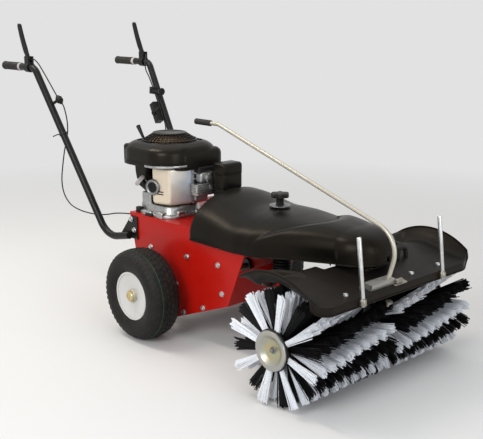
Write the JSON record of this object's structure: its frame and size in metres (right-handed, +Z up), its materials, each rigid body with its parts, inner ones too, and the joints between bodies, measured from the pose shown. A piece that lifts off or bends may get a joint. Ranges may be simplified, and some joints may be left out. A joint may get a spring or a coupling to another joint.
{
  "type": "power brush sweeper",
  "caption": "Walk-behind power sweeper: engine on a two-wheeled chassis drives a front cylindrical brush under a winged guard, with a swivelling head and high handlebars.",
  "frame": {"origin": "on the ground under the middle of the machine, halfway between the ends of the grips and the front of the guard posts", "axes": "+X forward towards the brush, +Y to the machine's left, +Z up"},
  "size_m": [1.9037, 0.802, 1.1054],
  "materials": {
    "red_paint": "gloss",
    "black_tube": "satin",
    "grip_rubber": "matte",
    "black_plastic": "satin",
    "satin_shell": "satin",
    "cover_black": "satin",
    "cable_black": "satin",
    "cast_alloy": "cast",
    "shield_steel": "satin",
    "belt_rubber": "matte",
    "tyre_rubber": "matte",
    "white_paint": "gloss",
    "bright_steel": "zinc plated",
    "yellow_zinc": "yellow zinc",
    "cream_zinc": "zinc plated",
    "grey_iron": "machined",
    "bristle_white": "satin",
    "bristle_black": "satin",
    "grey_plastic": "satin"
  },
  "bodies": {
    "chassis": {"side_plate_right": "red_paint", "side_plate_left": "red_paint", "top_deck": "red_paint", "front_panel": "red_paint", "wheel_gearbox": "cast_alloy", "axle_bearings": "bright_steel", "frame_bolts": "bright_steel", "handle_brackets": "black_tube", "handlebar_right": "black_tube", "handlebar_left": "black_tube", "hand_grips": "grip_rubber", "lever_clamps": "black_plastic", "control_box": "black_plastic", "cable_adjuster": "black_plastic", "drive_cable": "cable_black", "brush_cable": "cable_black", "crankcase": "cast_alloy", "cylinder_block": "cast_alloy", "fan_cover": "cover_black", "starter_cover": "cover_black", "muffler_shield": "shield_steel", "air_cleaner": "black_plastic", "carburettor": "cast_alloy", "oil_filler": "black_plastic", "drive_belt": "belt_rubber", "height_bellows": "belt_rubber"},
    "wheel_right": {"tyre_right": "tyre_rubber", "rim_right": "white_paint", "axle_right": "yellow_zinc"},
    "wheel_left": {"tyre_left": "tyre_rubber", "rim_left": "white_paint", "axle_left": "yellow_zinc"},
    "crank": {"crankshaft": "bright_steel", "flywheel": "grey_iron", "drive_pulley": "grey_iron"},
    "arm": {"brush_arm": "black_tube", "hood": "satin_shell", "hood_spacer": "yellow_zinc"},
    "knob": {"height_knob": "black_plastic", "height_spindle": "bright_steel"},
    "head": {"brush_gearbox": "cast_alloy", "brush_guard": "satin_shell", "guard_frame": "yellow_zinc", "guard_posts": "bright_steel", "rod_bracket": "bright_steel", "steering_rod": "cream_zinc", "rod_grip": "grip_rubber", "head_bolts": "bright_steel"},
    "input": {"input_shaft": "bright_steel", "driven_pulley": "grey_iron"},
    "brush": {"brush_shaft": "bright_steel", "brush_discs": "yellow_zinc", "bristles_black": "bristle_black", "bristles_white": "bristle_white"},
    "drive_lever": {"drive_lever": "black_plastic"},
    "brush_lever": {"brush_lever": "black_plastic"},
    "throttle_lever": {"throttle_lever": "black_plastic"},
    "selector_lever": {"selector_lever": "black_plastic"},
    "starter_grip": {"starter_grip": "black_plastic"},
    "oil_cap": {"oil_cap": "grey_plastic"}
  },
  "joints": [
    {"name": "wheel_right_spin", "type": "hinge", "parent": "chassis", "child": "wheel_right", "pos_m": [0.02678, -0.317, 0.165], "axis": [0, 1, 0], "continuous": true},
    {"name": "wheel_left_spin", "type": "hinge", "parent": "chassis", "child": "wheel_left", "pos_m": [0.02678, 0.317, 0.165], "axis": [0, 1, 0], "continuous": true},
    {"name": "crank_spin", "type": "hinge", "parent": "chassis", "child": "crank", "pos_m": [-0.10823, -0.072, 0.5], "axis": [0, 0, 1], "continuous": true},
    {"name": "arm_lift", "type": "hinge", "parent": "chassis", "child": "arm", "pos_m": [0.14877, 0, 0.306], "axis": [0, -1, 0], "range_deg": [0, 3], "deforming": ["drive_belt", "height_bellows"]},
    {"name": "knob_turn", "type": "hinge", "parent": "arm", "child": "knob", "pos_m": [0.40577, 0, 0.51], "axis": [0, 0, 1], "range_deg": [0, 610.5]},
    {"name": "head_swivel", "type": "hinge", "parent": "arm", "child": "head", "pos_m": [0.75777, 0, 0.398], "axis": [0, 0, 1], "range_deg": [-15, 15]},
    {"name": "input_spin", "type": "hinge", "parent": "head", "child": "input", "pos_m": [0.75777, 0, 0.421], "axis": [0, 0, 1], "continuous": true},
    {"name": "brush_spin", "type": "hinge", "parent": "head", "child": "brush", "pos_m": [0.75777, 0, 0.183], "axis": [0, 1, 0], "continuous": true},
    {"name": "drive_lever_squeeze", "type": "hinge", "parent": "chassis", "child": "drive_lever", "pos_m": [-0.74823, -0.285, 0.959], "axis": [0, -1, 0], "range_deg": [0, 55], "stiffness_Nm_per_rad": 0.8, "springref_deg": -28.65},
    {"name": "brush_lever_squeeze", "type": "hinge", "parent": "chassis", "child": "brush_lever", "pos_m": [-0.74823, 0.285, 0.959], "axis": [0, -1, 0], "range_deg": [0, 55], "stiffness_Nm_per_rad": 0.8, "springref_deg": -28.65},
    {"name": "throttle_swing", "type": "hinge", "parent": "chassis", "child": "throttle_lever", "pos_m": [-0.59855, 0.22252, 0.71904], "axis": [0.0387, 0.9973, -0.0623], "range_deg": [-30, 30]},
    {"name": "selector_swing", "type": "hinge", "parent": "chassis", "child": "selector_lever", "pos_m": [-0.63247, 0.24114, 0.81144], "axis": [0.0387, 0.9973, -0.0623], "range_deg": [-25, 25]},
    {"name": "starter_pull", "type": "slide", "parent": "chassis", "child": "starter_grip", "axis": [-0.6018, 0, 0.7986], "range_m": [0, 0.45], "stiffness_N_per_m": 12, "springref_m": -0.1},
    {"name": "oil_cap_turn", "type": "hinge", "parent": "chassis", "child": "oil_cap", "pos_m": [-0.16323, -0.168, 0.525], "axis": [-0.5213, -0.5213, 0.6757], "range_deg": [0, 90]}
  ],
  "couplings": [
    {"joint": "knob_turn", "follows": "arm_lift", "ratio": 201.85},
    {"joint": "input_spin", "follows": "brush_spin", "ratio": 3}
  ]
}
